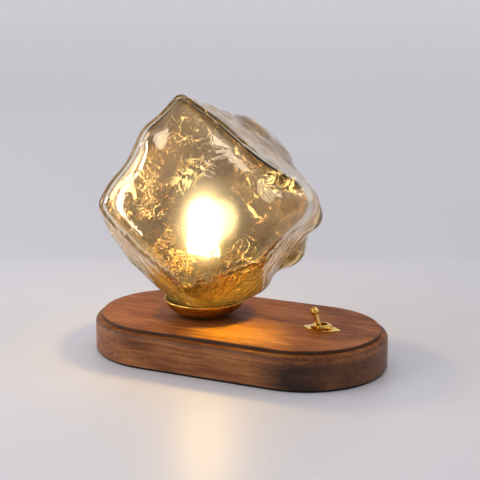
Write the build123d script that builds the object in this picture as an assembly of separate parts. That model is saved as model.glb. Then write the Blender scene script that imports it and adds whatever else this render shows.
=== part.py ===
from build123d import *
import math
import os

# Accent lamp: a hollow block of tumbled glass standing on one corner in a brass cup, on an oval wooden
# base with a ball-ended toggle switch. Millimetres, +Z up. The origin is the centre of the underside,
# +X runs along the base towards the switch and +Y towards the back, where the cord enters.

# Wooden base, its pad and its cover
BASE_LENGTH = 240.0
BASE_WIDTH = 130.0
BASE_THICKNESS = 28.5
TOP_INSET = 5.6
LIP_HEIGHT = 3.0
LIP_ROUNDING = 0.8
SHOULDER_RADIUS = 4.6
ROOF_THICKNESS = 6.0
SIDE_WALL = 15.0
PAD_THICKNESS = 2.0
PAD_INSET = 1.5
COVER_THICKNESS = 2.5
COVER_MARGIN = 8.0
COVER_GAP = 0.3

# Cover screws
SCREW_SHANK_RADIUS = 1.5
SCREW_HEAD_RADIUS = 2.9
SCREW_HEAD_HEIGHT = 1.5
SCREW_GRIP = 9.0

# Brass cup and the threaded tube that holds it down
CUP_END_DISTANCE = 90.0
CUP_HEIGHT = 13.5
CUP_RIM_RADIUS = 32.2
CUP_RIM_WALL = 1.5
CUP_BELLY_RADIUS = 27.4
CUP_BELLY_HEIGHT = 5.4
CUP_FOOT_RADIUS = 15.0
CUP_FOOT_HEIGHT = 1.5
CUP_UNDERCUT = 2.0
CUP_FLOOR = 3.5
CUP_SOCKET_DEPTH = 4.0
TUBE_RADIUS = 5.0
TUBE_BORE_RADIUS = 3.5
TUBE_BELOW_NUT = 3.0
TUBE_ABOVE_ENTRY = 1.0
TUBE_NUT_FLATS = 17.0
TUBE_NUT_HEIGHT = 4.0
TUBE_WASHER_RADIUS = 11.0
TUBE_WASHER_THICKNESS = 1.2

# Glass block. Each facet is a plane: the heading its face looks along, measured from +X, the angle it
# looks up or down, and its distance from the middle of the block.
GLASS_MIDDLE_HEIGHT = 77.5
FRONT_DISTANCE = 54.0
UPPER_RIGHT_DISTANCE = 73.0
UPPER_LEFT_DISTANCE = 49.0
SHOULDER_DISTANCE = 80.0
LOW_RIGHT_DISTANCE = 71.0
LOW_LEFT_DISTANCE = 60.0
LOW_FRONT_DISTANCE = 73.0
BACK_LEFT_DISTANCE = 60.0
REAR_DISTANCE = 82.0
LOW_BACK_DISTANCE = 69.0
GLASS_FACETS = {
    "front": (-80, 23, FRONT_DISTANCE),
    "upper_right": (22, 52, UPPER_RIGHT_DISTANCE),
    "upper_left": (160, 19, UPPER_LEFT_DISTANCE),
    "shoulder": (40, 5, SHOULDER_DISTANCE),
    "low_right": (2, -30, LOW_RIGHT_DISTANCE),
    "low_left": (-127, -39, LOW_LEFT_DISTANCE),
    "low_front": (-66, -56, LOW_FRONT_DISTANCE),
    "back_left": (128, -30, BACK_LEFT_DISTANCE),
    "rear": (84, 4, REAR_DISTANCE),
    "low_back": (46, -46, LOW_BACK_DISTANCE),
}
GLASS_REACH = 400.0
GLASS_WALL = 3.0
GLASS_EDGE_RADIUS = 11.0
GLASS_BOTTOM_WALL = 4.0
THROAT_GAP = 0.9
THROAT_SINK = 1.5
THROAT_LIP = 2.1
THROAT_MIDDLE_RADIUS = 46.0
THROAT_MIDDLE_RISE = 6.5
THROAT_END_RADIUS = 62.0
THROAT_END_RISE = 20.0
NECK_RADIUS = 19.0
NECK_BORE_RADIUS = 16.0
COLLAR_WALL = 2.3
COLLAR_HEIGHT = 5.0
COLLAR_RAISE = 0.5
GASKET_THICKNESS = 2.0
GASKET_INNER_RADIUS = 14.5

# Lampholder and bulb
ENTRY_THICKNESS = 3.0
HOLDER_CAP_RADIUS = 11.0
HOLDER_CAP_WALL = 1.5
HOLDER_CAP_HEIGHT = 12.0
HOLDER_BODY_RADIUS = 10.5
HOLDER_BODY_HEIGHT = 20.0
HOLDER_BODY_CHAMFER = 0.8
SLOT_LENGTH = 6.0
SLOT_WIDTH = 3.0
PIN_SPACING = 9.0
PIN_WIRE_RADIUS = 0.45
PIN_LOOP_RADIUS = 1.1
PIN_LENGTH = 10.0
CONTACT_STRIP = 0.5
CONTACT_WIDTH = 4.0
CONTACT_LENGTH = 16.0
BULB_BASE_HEIGHT = 10.0
BULB_BASE_RADIUS = 6.8
BULB_SPIGOT_HEIGHT = 4.0
BULB_RADIUS = 10.2
BULB_WALL = 1.2
LED_BOARD_WIDTH = 13.0
LED_BOARD_THICKNESS = 1.6
LED_BOARD_HEIGHT = 33.0
LED_BOARD_CLEARANCE = 1.0
LED_CHIP_SIZE = 2.8
LED_CHIP_THICKNESS = 0.6
LED_CHIP_ROWS = 7
LED_CHIP_COLUMNS = 2

# Toggle switch
SWITCH_END_DISTANCE = 50.0
BUSHING_RADIUS = 6.0
BUSHING_BORE_RADIUS = 4.6
BUSHING_PROUD = 4.0
PLATE_LENGTH = 31.0
PLATE_WIDTH = 15.4
PLATE_THICKNESS = 1.0
PLATE_TIP_ROUNDING = 1.0
DRESS_NUT_FLATS = 15.0
DRESS_NUT_HEIGHT = 2.3
DRESS_NUT_TURN = 30.0
BACK_NUT_HEIGHT = 2.2
LOCK_WASHER_RADIUS = 8.5
LOCK_WASHER_THICKNESS = 0.8
FRAME_THICKNESS = 1.2
SWITCH_LENGTH = 26.0
SWITCH_WIDTH = 15.0
SWITCH_DEPTH = 11.3
SWITCH_WALL = 1.5
SWITCH_FLOOR = 1.2

# Lever, its pin and its plunger; lengths along the lever are measured from its pivot
LEVER_LEAN = 21.0
LEVER_PIVOT_DEPTH = 2.5
LEVER_BOSS_RADIUS = 3.0
LEVER_WAIST_RADIUS = 1.6
LEVER_NECK_RADIUS = 2.1
LEVER_WAIST_REACH = 7.2
LEVER_REACH = 16.8
BALL_RADIUS = 3.45
TAIL_RADIUS = 1.2
TAIL_REACH = 11.0
LEVER_PIN_RADIUS = 1.0
LEVER_PIN_LENGTH = 11.8
PLUNGER_RADIUS = 0.6
PLUNGER_REACH = 13.0
PLUNGER_LENGTH = 4.0
SPRING_WIRE_RADIUS = 0.12
SPRING_TURNS = 5
SPRING_PITCH = 0.5

# Contact rocker and the switch's terminals
ROCKER_TILT = 8.0
ROCKER_WING_RISE = 18.0
ROCKER_WING_LENGTH = 8.5
ROCKER_WING_THICKNESS = 0.8
ROCKER_WIDTH = 6.0
ROCKER_BARREL_RADIUS = 1.5
ROCKER_PIN_RADIUS = 0.8
BUTTON_RADIUS = 1.1
BUTTON_THICKNESS = 0.5
BUTTON_REACH = 7.2
LUG_THICKNESS = 0.8
LUG_WIDTH = 4.8
LUG_LENGTH = 3.5
BLADE_REACH = 9.9
SADDLE_THICKNESS = 0.7
SADDLE_LENGTH = 3.2
STOP_LENGTH = 2.0

# Terminal block under the roof of the base
BLOCK_LENGTH = 22.0
BLOCK_WIDTH = 14.0
BLOCK_HEIGHT = 11.0
POLE_SPACING = 7.6
POLE_DROP = 6.5
POLE_RADIUS = 2.15
POLE_BORE_RADIUS = 1.2
POLE_RECESS = 1.5
CLAMP_SCREW_RADIUS = 1.1
CLAMP_SCREW_SPACING = 11.0
BLOCK_SCREW_RADIUS = 1.2
BLOCK_SCREW_HEAD_RADIUS = 2.3
BLOCK_SCREW_HEAD_HEIGHT = 1.6
BLOCK_SCREW_GRIP = 4.0

# Cord inlet in the back of the base
INLET_X = 0.0
INLET_HEIGHT = 14.0
INLET_BORE_RADIUS = 3.2
INLET_RADIUS = 4.4
INLET_FLANGE_RADIUS = 7.0
INLET_FLANGE_THICKNESS = 2.0
INLET_NUT_FLATS = 13.0
INLET_NUT_THICKNESS = 3.0
INLET_TAIL = 1.5

# Inner leads
LEAD_RADIUS = 0.9
LEAD_BEND = 4.0
LEAD_SPACING = 2.6
LEAD_LEVEL = 7.2
LEAD_AISLE = 18.0
LEAD_TURN = 7.5
LEAD_RISE = 6.0
LEAD_INSERT = 8.0

# Eased edges
NUT_EASE = 1.4
NUT_EASE_ANGLE = 30.0
CUP_RIM_ROUNDING = 0.6
PLATE_CHAMFER = 0.3
BUSHING_CHAMFER = 0.3
BLOCK_ROUNDING = 1.5

# Clearances
RUNNING_FIT = 0.05
SLIP_FIT = 0.1
WORKING_GAP = 0.3

# Places and levels worked out from the sizes above
CUP_X = CUP_END_DISTANCE - BASE_LENGTH / 2
SWITCH_X = BASE_LENGTH / 2 - SWITCH_END_DISTANCE
BLOCK_X = (CUP_X + SWITCH_X) / 2
PAD_TOP = PAD_THICKNESS
BASE_TOP = PAD_TOP + BASE_THICKNESS
ROOF = BASE_TOP - ROOF_THICKNESS
COVER_TOP = PAD_TOP + COVER_THICKNESS
CUP_FLOOR_TOP = BASE_TOP + CUP_FLOOR
CUP_RIM_TOP = BASE_TOP + CUP_HEIGHT
CUP_SOCKET_RADIUS = NECK_RADIUS + COLLAR_WALL + 2 * SLIP_FIT
NECK_BOTTOM = CUP_FLOOR_TOP + GASKET_THICKNESS
THROAT_RADIUS = CUP_RIM_RADIUS - CUP_RIM_WALL - THROAT_GAP
THROAT_BOTTOM = CUP_RIM_TOP - THROAT_SINK
GLASS_FLOOR = THROAT_BOTTOM + GLASS_BOTTOM_WALL
GLASS_MIDDLE = BASE_TOP + GLASS_MIDDLE_HEIGHT
ENTRY_BOTTOM = CUP_FLOOR_TOP + TUBE_NUT_HEIGHT
HOLDER_BOTTOM = ENTRY_BOTTOM + HOLDER_CAP_HEIGHT
HOLDER_TOP = HOLDER_BOTTOM + HOLDER_BODY_HEIGHT
BULB_BOTTOM = HOLDER_TOP + BULB_BASE_HEIGHT
TUBE_NUT_TOP = ROOF - TUBE_WASHER_THICKNESS
TUBE_BOTTOM = TUBE_NUT_TOP - TUBE_NUT_HEIGHT - TUBE_BELOW_NUT
TUBE_TOP = ENTRY_BOTTOM + ENTRY_THICKNESS + TUBE_ABOVE_ENTRY
FRAME_TOP = ROOF - LOCK_WASHER_THICKNESS - BACK_NUT_HEIGHT
FRAME_BOTTOM = FRAME_TOP - FRAME_THICKNESS
SWITCH_BOTTOM = FRAME_BOTTOM - SWITCH_DEPTH
SWITCH_FLOOR_TOP = SWITCH_BOTTOM + SWITCH_FLOOR
LUG_BOTTOM = SWITCH_BOTTOM - LUG_LENGTH
BUSHING_TOP = BASE_TOP + BUSHING_PROUD
PIVOT = BASE_TOP - LEVER_PIVOT_DEPTH
ROCKER_PIVOT = SWITCH_FLOOR_TOP + SADDLE_THICKNESS + WORKING_GAP + ROCKER_BARREL_RADIUS
BLOCK_BOTTOM = ROOF - BLOCK_HEIGHT
POLE_LEVEL = ROOF - POLE_DROP


def oval(inset, bottom, top):
    """A slab with the base's outline, drawn in by inset, between two levels."""
    outline = SlotOverall(BASE_LENGTH - 2 * inset, BASE_WIDTH - 2 * inset)
    return Pos(0, 0, bottom) * extrude(outline, top - bottom)


def turned(*outline):
    """A solid of revolution about Z from its outline of (radius, height) points."""
    return revolve(Plane.XZ * make_face(Polyline(*outline, close=True)), Axis.Z)


def rod(radius, bottom, top):
    return Pos(0, 0, bottom) * extrude(Circle(radius), top - bottom)


def ring(outer, inner, bottom, top):
    return rod(outer, bottom, top) - rod(inner, bottom, top)


def block(low, high):
    """A box between two opposite corners."""
    size = [b - a for a, b in zip(low, high)]
    middle = [(a + b) / 2 for a, b in zip(low, high)]
    return Pos(*middle) * Box(*size)


def hex_nut(flats, hole, bottom, top):
    """A hexagon nut with its corners eased by a shallow cone at top and bottom."""
    corner = flats / math.sqrt(3)
    outline = RegularPolygon(flats / 2, 6, major_radius=False)
    body = Pos(0, 0, bottom) * extrude(outline, top - bottom)
    slope = NUT_EASE * math.tan(math.radians(NUT_EASE_ANGLE))
    eased = turned((0, bottom), (corner - NUT_EASE, bottom), (corner, bottom + slope),
                   (corner, top - slope), (corner - NUT_EASE, top), (0, top))
    return (body & eased) - rod(hole, bottom, top)


def along_y(shape):
    """Lays a shape that was made along Z down, so that its top looks along +Y."""
    return Rot(-90, 0, 0) * shape


def wire(points, radius=LEAD_RADIUS, bend=LEAD_BEND):
    """A round lead along straight runs joined by arcs."""
    path = FilletPolyline(*points, radius=bend)
    return sweep(Plane(origin=path @ 0, z_dir=path % 0) * Circle(radius), path=path)


def at_cup(shape):
    return Pos(CUP_X, 0, 0) * shape


def at_switch(shape):
    return Pos(SWITCH_X, 0, 0) * shape


def cover_screw_places():
    middle = (COVER_MARGIN + SIDE_WALL) / 2
    end = (BASE_LENGTH - BASE_WIDTH) / 2
    side = BASE_WIDTH / 2 - middle
    tip = BASE_LENGTH / 2 - middle
    return [(-end, -side), (end, -side), (-end, side), (end, side), (-tip, 0), (tip, 0)]


def countersunk_screw(gap):
    """A wood screw with its flat head at the cover's underside, or with a gap the hole for it."""
    neck = PAD_TOP + SCREW_HEAD_HEIGHT
    tip = COVER_TOP + SCREW_GRIP
    return turned((0, PAD_TOP), (SCREW_HEAD_RADIUS + gap, PAD_TOP), (SCREW_SHANK_RADIUS + gap, neck),
                  (SCREW_SHANK_RADIUS + gap, tip + gap), (0, tip + gap))


def block_screw(gap):
    """The screw that holds the terminal block up against the roof, or with a gap the hole for it."""
    seat = BLOCK_BOTTOM + BLOCK_SCREW_HEAD_HEIGHT
    tip = ROOF + BLOCK_SCREW_GRIP
    return Pos(BLOCK_X, 0, 0) * turned(
        (0, BLOCK_BOTTOM), (BLOCK_SCREW_HEAD_RADIUS + gap, BLOCK_BOTTOM),
        (BLOCK_SCREW_HEAD_RADIUS + gap, seat), (BLOCK_SCREW_RADIUS + gap, seat),
        (BLOCK_SCREW_RADIUS + gap, tip + gap), (0, tip + gap))


def base_block():
    """The oval wooden base, with its rounded shoulder, raised lip and wiring pocket."""
    lower = oval(0, PAD_TOP, BASE_TOP - LIP_HEIGHT)
    lower = fillet(lower.faces().sort_by(Axis.Z)[-1].edges(), SHOULDER_RADIUS)
    lip = oval(TOP_INSET, BASE_TOP - LIP_HEIGHT, BASE_TOP)
    lip = fillet(lip.faces().sort_by(Axis.Z)[-1].edges(), LIP_ROUNDING)
    wood = lower + lip
    wood -= oval(COVER_MARGIN, PAD_TOP, COVER_TOP)
    wood -= oval(SIDE_WALL, COVER_TOP, ROOF)
    wood -= at_cup(rod(TUBE_RADIUS + SLIP_FIT, ROOF, BASE_TOP))
    wood -= at_switch(rod(BUSHING_RADIUS + SLIP_FIT, ROOF, BASE_TOP))
    wood -= inlet_place(rod(INLET_RADIUS + SLIP_FIT, -SIDE_WALL, 0))
    wood -= block_screw(RUNNING_FIT)
    for x, y in cover_screw_places():
        wood -= Pos(x, y, 0) * countersunk_screw(RUNNING_FIT)
    return wood


def bottom_cover():
    """The plate let into the underside, which closes the wiring pocket."""
    plate = oval(COVER_MARGIN + COVER_GAP, PAD_TOP, COVER_TOP)
    for x, y in cover_screw_places():
        plate -= Pos(x, y, 0) * countersunk_screw(RUNNING_FIT)
    return plate


def cover_screws():
    return Compound([Pos(x, y, 0) * countersunk_screw(0) for x, y in cover_screw_places()])


def base_pad():
    return oval(PAD_INSET, 0, PAD_TOP)


def inlet_place(shape):
    """Moves a shape made along Z to the cord inlet, with its level zero on the outside of the back."""
    return Pos(INLET_X, BASE_WIDTH / 2, INLET_HEIGHT) * along_y(shape)


def cord_inlet_bush():
    """The flanged bush that lines the cord's hole, with a rounded mouth."""
    flange = rod(INLET_FLANGE_RADIUS, 0, INLET_FLANGE_THICKNESS)
    flange = fillet(flange.edges().sort_by(Axis.Z)[-1], INLET_FLANGE_THICKNESS / 2)
    sleeve = rod(INLET_RADIUS, -SIDE_WALL - INLET_NUT_THICKNESS - INLET_TAIL, 0)
    bore = rod(INLET_BORE_RADIUS, -SIDE_WALL - INLET_NUT_THICKNESS - INLET_TAIL, INLET_FLANGE_THICKNESS)
    return inlet_place(flange + sleeve - bore)


def cord_inlet_nut():
    top = -SIDE_WALL
    return inlet_place(hex_nut(INLET_NUT_FLATS, INLET_RADIUS + RUNNING_FIT, top - INLET_NUT_THICKNESS, top))


def poles(radius, length):
    """Two rods along X, one for each pole of the terminal block."""
    along = Rot(0, 90, 0) * rod(radius, -length / 2, length / 2)
    return [Pos(BLOCK_X, side * POLE_SPACING / 2, POLE_LEVEL) * along for side in (-1, 1)]


def clamp_screws(gap):
    """The four screws that clamp the leads, from the block's underside up to just under the leads."""
    tip = POLE_LEVEL - LEAD_RADIUS - WORKING_GAP
    return [Pos(BLOCK_X + end * CLAMP_SCREW_SPACING / 2, side * POLE_SPACING / 2, 0)
            * rod(CLAMP_SCREW_RADIUS + gap, BLOCK_BOTTOM, tip + gap)
            for end in (-1, 1) for side in (-1, 1)]


def terminal_block():
    half = BLOCK_WIDTH / 2
    low_end = (BLOCK_X - BLOCK_LENGTH / 2, -half, BLOCK_BOTTOM)
    body = block(low_end, (BLOCK_X + BLOCK_LENGTH / 2, half, ROOF))
    body = fillet(body.edges().filter_by(Axis.X).sort_by(Axis.Z)[:2], BLOCK_ROUNDING)
    for cut in poles(POLE_RADIUS + RUNNING_FIT, BLOCK_LENGTH) + clamp_screws(RUNNING_FIT):
        body -= cut
    return body - block_screw(RUNNING_FIT)


def terminal_inserts():
    length = BLOCK_LENGTH - 2 * POLE_RECESS
    inserts = []
    for outer, bore in zip(poles(POLE_RADIUS, length), poles(POLE_BORE_RADIUS, length)):
        insert = outer - bore
        for cut in clamp_screws(RUNNING_FIT):
            insert -= cut
        inserts.append(insert)
    return Compound(inserts)


def terminal_clamp_screws():
    return Compound(clamp_screws(0))


def terminal_block_screw():
    return block_screw(0)


def shade_cup():
    """The turned brass cup: a foot, a bowl over a shadow gap, and a threaded socket for the shade."""
    bowl_bottom = BASE_TOP + CUP_FOOT_HEIGHT
    socket_top = CUP_FLOOR_TOP + CUP_SOCKET_DEPTH
    hole = TUBE_RADIUS + SLIP_FIT
    foot = Polyline((hole, CUP_FLOOR_TOP), (hole, BASE_TOP), (CUP_FOOT_RADIUS, BASE_TOP),
                    (CUP_FOOT_RADIUS, bowl_bottom), (CUP_FOOT_RADIUS + CUP_UNDERCUT, bowl_bottom))
    widest = (CUP_BELLY_RADIUS, BASE_TOP + CUP_BELLY_HEIGHT)
    belly = ThreePointArc(foot @ 1, widest, (CUP_RIM_RADIUS, CUP_RIM_TOP))
    centre = belly.arc_center
    reach = belly.radius - CUP_RIM_WALL

    def inside(level):
        return centre.X + math.sqrt(reach ** 2 - (level - centre.Y) ** 2), level

    rim = Line(belly @ 1, inside(CUP_RIM_TOP))
    bowl = ThreePointArc(rim @ 1, inside((CUP_RIM_TOP + socket_top) / 2), inside(socket_top))
    socket = Polyline(bowl @ 1, (CUP_SOCKET_RADIUS, socket_top), (CUP_SOCKET_RADIUS, CUP_FLOOR_TOP),
                      (hole, CUP_FLOOR_TOP))
    cup = revolve(Plane.XZ * make_face(foot + belly + rim + bowl + socket), Axis.Z)
    edge = cup.edges().filter_by(GeomType.CIRCLE).group_by(Axis.Z)[-1]
    return at_cup(fillet(edge, CUP_RIM_ROUNDING))


def threaded_tube():
    return at_cup(ring(TUBE_RADIUS, TUBE_BORE_RADIUS, TUBE_BOTTOM, TUBE_TOP))


def tube_nut():
    bottom = TUBE_NUT_TOP - TUBE_NUT_HEIGHT
    return at_cup(hex_nut(TUBE_NUT_FLATS, TUBE_RADIUS + RUNNING_FIT, bottom, TUBE_NUT_TOP))


def tube_washer():
    return at_cup(ring(TUBE_WASHER_RADIUS, TUBE_RADIUS + SLIP_FIT, TUBE_NUT_TOP, ROOF))


def cup_nut():
    return at_cup(hex_nut(TUBE_NUT_FLATS, TUBE_RADIUS + RUNNING_FIT, CUP_FLOOR_TOP, ENTRY_BOTTOM))


def shade_gasket():
    return at_cup(ring(NECK_RADIUS, GASKET_INNER_RADIUS, CUP_FLOOR_TOP, NECK_BOTTOM))


def neck_collar():
    """The threaded ring cemented round the glass neck, which screws into the cup."""
    bottom = NECK_BOTTOM + COLLAR_RAISE
    inner = NECK_RADIUS + SLIP_FIT
    return at_cup(ring(NECK_RADIUS + SLIP_FIT + COLLAR_WALL, inner, bottom, bottom + COLLAR_HEIGHT))


def glass_core():
    """The flat-faced block whose edges and corners are rounded by swelling it."""
    core = Pos(0, 0, GLASS_MIDDLE) * Box(GLASS_REACH, GLASS_REACH, GLASS_REACH)
    for heading, rise, distance in GLASS_FACETS.values():
        turn = math.radians(heading)
        lift = math.radians(rise)
        facing = Vector(math.cos(lift) * math.cos(turn), math.cos(lift) * math.sin(turn), math.sin(lift))
        foot = Vector(0, 0, GLASS_MIDDLE) + facing * (distance - GLASS_EDGE_RADIUS)
        face = Plane(origin=foot, z_dir=facing)
        core = split(core, bisect_by=face, keep=Keep.BOTTOM)
    return core


def throat(raise_by):
    """The round mouth that draws the block's low facets together into the cup."""
    bottom = THROAT_BOTTOM + raise_by
    lip = Polyline((0, bottom), (THROAT_RADIUS, bottom), (THROAT_RADIUS, bottom + THROAT_LIP))
    middle = (THROAT_MIDDLE_RADIUS, bottom + THROAT_LIP + THROAT_MIDDLE_RISE)
    end = (THROAT_END_RADIUS, bottom + THROAT_LIP + THROAT_END_RISE)
    bowl = ThreePointArc(lip @ 1, middle, end)
    top = end[1] + GLASS_REACH
    flare = Polyline(end, (end[0] + GLASS_REACH, top), (0, top), (0, bottom))
    return revolve(Plane.XZ * make_face(lip + bowl + flare), Axis.Z)


def glass_outside(keep):
    """The outside of the glass, with its facets and throat, over or under the hollow's floor."""
    outside = offset(glass_core(), GLASS_EDGE_RADIUS) & throat(0)
    return split(outside, bisect_by=Plane.XY.offset(GLASS_FLOOR), keep=keep)


def glass_shell(keep):
    """One side of the hollow glass block, open below where its neck is melted on."""
    inside = offset(glass_core(), GLASS_EDGE_RADIUS - GLASS_WALL) & throat(GLASS_BOTTOM_WALL)
    return at_cup(split(glass_outside(Keep.TOP) - inside, bisect_by=Plane.YZ, keep=keep))


def glass_shade_left():
    """The side of the block away from the switch, up to the seam over the cup's middle."""
    return glass_shell(Keep.BOTTOM)


def glass_shade_right():
    """The side of the block towards the switch, from the seam on."""
    return glass_shell(Keep.TOP)


def glass_neck():
    """The glass floor of the block, with its round foot in the cup's mouth and the short neck under it."""
    foot = rod(THROAT_RADIUS, THROAT_BOTTOM, GLASS_FLOOR)
    neck = rod(NECK_RADIUS, NECK_BOTTOM, GLASS_FLOOR)
    bore = rod(NECK_BORE_RADIUS, NECK_BOTTOM, GLASS_FLOOR)
    return at_cup(glass_outside(Keep.BOTTOM) + foot + neck - bore)


def lampholder_cap():
    """The metal cup under the ceramic holder, screwed on to the tube."""
    top = HOLDER_BOTTOM
    shell = rod(HOLDER_CAP_RADIUS, ENTRY_BOTTOM, top)
    shell = fillet(shell.edges().filter_by(GeomType.CIRCLE).sort_by(Axis.Z)[0], HOLDER_CAP_WALL)
    hollow = rod(HOLDER_CAP_RADIUS - HOLDER_CAP_WALL, ENTRY_BOTTOM + ENTRY_THICKNESS, top)
    return at_cup(shell - hollow - rod(TUBE_RADIUS + RUNNING_FIT, ENTRY_BOTTOM, top))


def lampholder_body():
    """The ceramic holder with a slot for each of the bulb's pins."""
    body = rod(HOLDER_BODY_RADIUS, HOLDER_BOTTOM, HOLDER_TOP)
    body = chamfer(body.edges().filter_by(GeomType.CIRCLE).sort_by(Axis.Z)[-1], HOLDER_BODY_CHAMFER)
    for side in (-1, 1):
        middle = side * PIN_SPACING / 2
        body -= block((middle - SLOT_WIDTH / 2, -SLOT_LENGTH / 2, HOLDER_BOTTOM),
                      (middle + SLOT_WIDTH / 2, SLOT_LENGTH / 2, HOLDER_TOP))
    return at_cup(body)


def lampholder_contacts():
    """Two bent strips, each with a foot for its lead and a spring blade beside its pin."""
    bottom = HOLDER_BOTTOM + WORKING_GAP
    half = CONTACT_WIDTH / 2
    near = PIN_SPACING / 2 + PIN_WIRE_RADIUS + RUNNING_FIT
    slot_side = PIN_SPACING / 2 - SLOT_WIDTH / 2 + RUNNING_FIT
    blade = block((near, -half, bottom), (near + CONTACT_STRIP, half, bottom + CONTACT_LENGTH))
    foot = block((slot_side, -half, bottom), (near, half, bottom + CONTACT_STRIP))
    strip = blade + foot
    return Compound([at_cup(strip), at_cup(Rot(0, 0, 180) * strip)])


def bulb_pins():
    """Two loops of wire that plug into the holder."""
    bend_top = HOLDER_TOP - PIN_LENGTH + PIN_LOOP_RADIUS
    pins = []
    for side in (-1, 1):
        x = CUP_X + side * PIN_SPACING / 2
        down = Line((x, -PIN_LOOP_RADIUS, HOLDER_TOP), (x, -PIN_LOOP_RADIUS, bend_top))
        loop = ThreePointArc(down @ 1, (x, 0, bend_top - PIN_LOOP_RADIUS), (x, PIN_LOOP_RADIUS, bend_top))
        up = Line(loop @ 1, (x, PIN_LOOP_RADIUS, HOLDER_TOP))
        path = Wire([down, loop, up])
        pins.append(sweep(Plane(origin=path @ 0, z_dir=path % 0) * Circle(PIN_WIRE_RADIUS), path=path))
    return Compound(pins)


def bulb_base():
    """The bulb's moulded base, with the spigot that its cover slips over."""
    spigot = BULB_RADIUS - BULB_WALL - SLIP_FIT
    return at_cup(turned((0, HOLDER_TOP), (BULB_BASE_RADIUS, HOLDER_TOP), (BULB_RADIUS, BULB_BOTTOM),
                         (spigot, BULB_BOTTOM), (spigot, BULB_BOTTOM + BULB_SPIGOT_HEIGHT),
                         (0, BULB_BOTTOM + BULB_SPIGOT_HEIGHT)))


def capsule(radius, bottom, top):
    """A round-topped rod."""
    side = Polyline((0, top), (0, bottom), (radius, bottom), (radius, top - radius))
    dome = RadiusArc(side @ 1, side @ 0, -radius)
    return revolve(Plane.XZ * make_face(side + dome), Axis.Z)


def bulb_envelope():
    """The round-topped cover, just tall enough to clear the corners of the board inside it."""
    inner = BULB_RADIUS - BULB_WALL
    corner = math.hypot(LED_BOARD_WIDTH / 2, LED_BOARD_THICKNESS / 2)
    dome = inner - math.sqrt(inner ** 2 - corner ** 2)
    board_top = BULB_BOTTOM + BULB_SPIGOT_HEIGHT + LED_BOARD_HEIGHT
    top = board_top + LED_BOARD_CLEARANCE + dome
    return at_cup(capsule(BULB_RADIUS, BULB_BOTTOM, top + BULB_WALL) - capsule(inner, BULB_BOTTOM, top))


def led_board():
    """The upright board, with a grid of light-emitting chips on both sides."""
    bottom = BULB_BOTTOM + BULB_SPIGOT_HEIGHT
    half = LED_BOARD_THICKNESS / 2
    top = bottom + LED_BOARD_HEIGHT
    board = block((-LED_BOARD_WIDTH / 2, -half, bottom), (LED_BOARD_WIDTH / 2, half, top))
    chip = Box(LED_CHIP_SIZE, LED_BOARD_THICKNESS + 2 * LED_CHIP_THICKNESS, LED_CHIP_SIZE)
    grid = GridLocations(LED_BOARD_WIDTH / LED_CHIP_COLUMNS, LED_BOARD_HEIGHT / LED_CHIP_ROWS,
                         LED_CHIP_COLUMNS, LED_CHIP_ROWS)
    middle = Pos(0, 0, bottom + LED_BOARD_HEIGHT / 2) * Rot(90, 0, 0)
    for place in grid:
        board += middle * place * Rot(-90, 0, 0) * chip
    return at_cup(board)


def switch_bushing():
    """The switch's metal frame plate with its threaded bushing, drilled across for the lever's pin."""
    half = (SWITCH_LENGTH / 2, SWITCH_WIDTH / 2)
    plate = block((-half[0], -half[1], FRAME_BOTTOM), (half[0], half[1], FRAME_TOP))
    sleeve = rod(BUSHING_RADIUS, FRAME_TOP, BUSHING_TOP)
    sleeve = chamfer(sleeve.edges().filter_by(GeomType.CIRCLE).sort_by(Axis.Z)[-1], BUSHING_CHAMFER)
    bore = rod(BUSHING_BORE_RADIUS, FRAME_BOTTOM, BUSHING_TOP)
    cross_hole = along_y(rod(LEVER_PIN_RADIUS + RUNNING_FIT, -BUSHING_RADIUS, BUSHING_RADIUS))
    return at_switch(plate + sleeve - bore - Pos(0, 0, PIVOT) * cross_hole)


def switch_plate():
    """The eye-shaped brass plate under the dress nut."""
    half_length = PLATE_LENGTH / 2
    half_width = PLATE_WIDTH / 2
    sweep_radius = (half_length ** 2 + half_width ** 2) / (2 * half_width)
    shift = sweep_radius - half_width
    eye = (Pos(0, shift) * Circle(sweep_radius)) & (Pos(0, -shift) * Circle(sweep_radius))
    eye = fillet(eye.vertices(), PLATE_TIP_ROUNDING)
    plate = Pos(0, 0, BASE_TOP) * extrude(eye, PLATE_THICKNESS)
    plate = chamfer(plate.faces().sort_by(Axis.Z)[-1].edges(), PLATE_CHAMFER)
    return at_switch(plate - rod(BUSHING_RADIUS + RUNNING_FIT, BASE_TOP, BASE_TOP + PLATE_THICKNESS))


def switch_nut():
    bottom = BASE_TOP + PLATE_THICKNESS
    top = bottom + DRESS_NUT_HEIGHT
    nut = hex_nut(DRESS_NUT_FLATS, BUSHING_RADIUS + RUNNING_FIT, bottom, top)
    return at_switch(Rot(0, 0, DRESS_NUT_TURN) * nut)


def switch_back_nut():
    top = FRAME_TOP + BACK_NUT_HEIGHT
    return at_switch(hex_nut(DRESS_NUT_FLATS, BUSHING_RADIUS + RUNNING_FIT, FRAME_TOP, top))


def switch_lock_washer():
    bottom = ROOF - LOCK_WASHER_THICKNESS
    return at_switch(ring(LOCK_WASHER_RADIUS, BUSHING_RADIUS + SLIP_FIT, bottom, ROOF))


def lug(x, gap, top):
    """A flat solder lug that hangs down through the switch's floor, or with a gap the slot for it."""
    thick = LUG_THICKNESS / 2 + gap
    wide = LUG_WIDTH / 2 + gap
    return block((x - thick, -wide, LUG_BOTTOM), (x + thick, wide, top))


def wing_level(reach, below):
    """The height, over the rocker's pivot, of a point on its lowered wing, a depth below the wing's top."""
    slope = math.radians(ROCKER_WING_RISE - ROCKER_TILT)
    top = ROCKER_BARREL_RADIUS * math.cos(math.radians(ROCKER_WING_RISE))
    return reach * math.sin(slope) + (top - below) * math.cos(slope)


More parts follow.
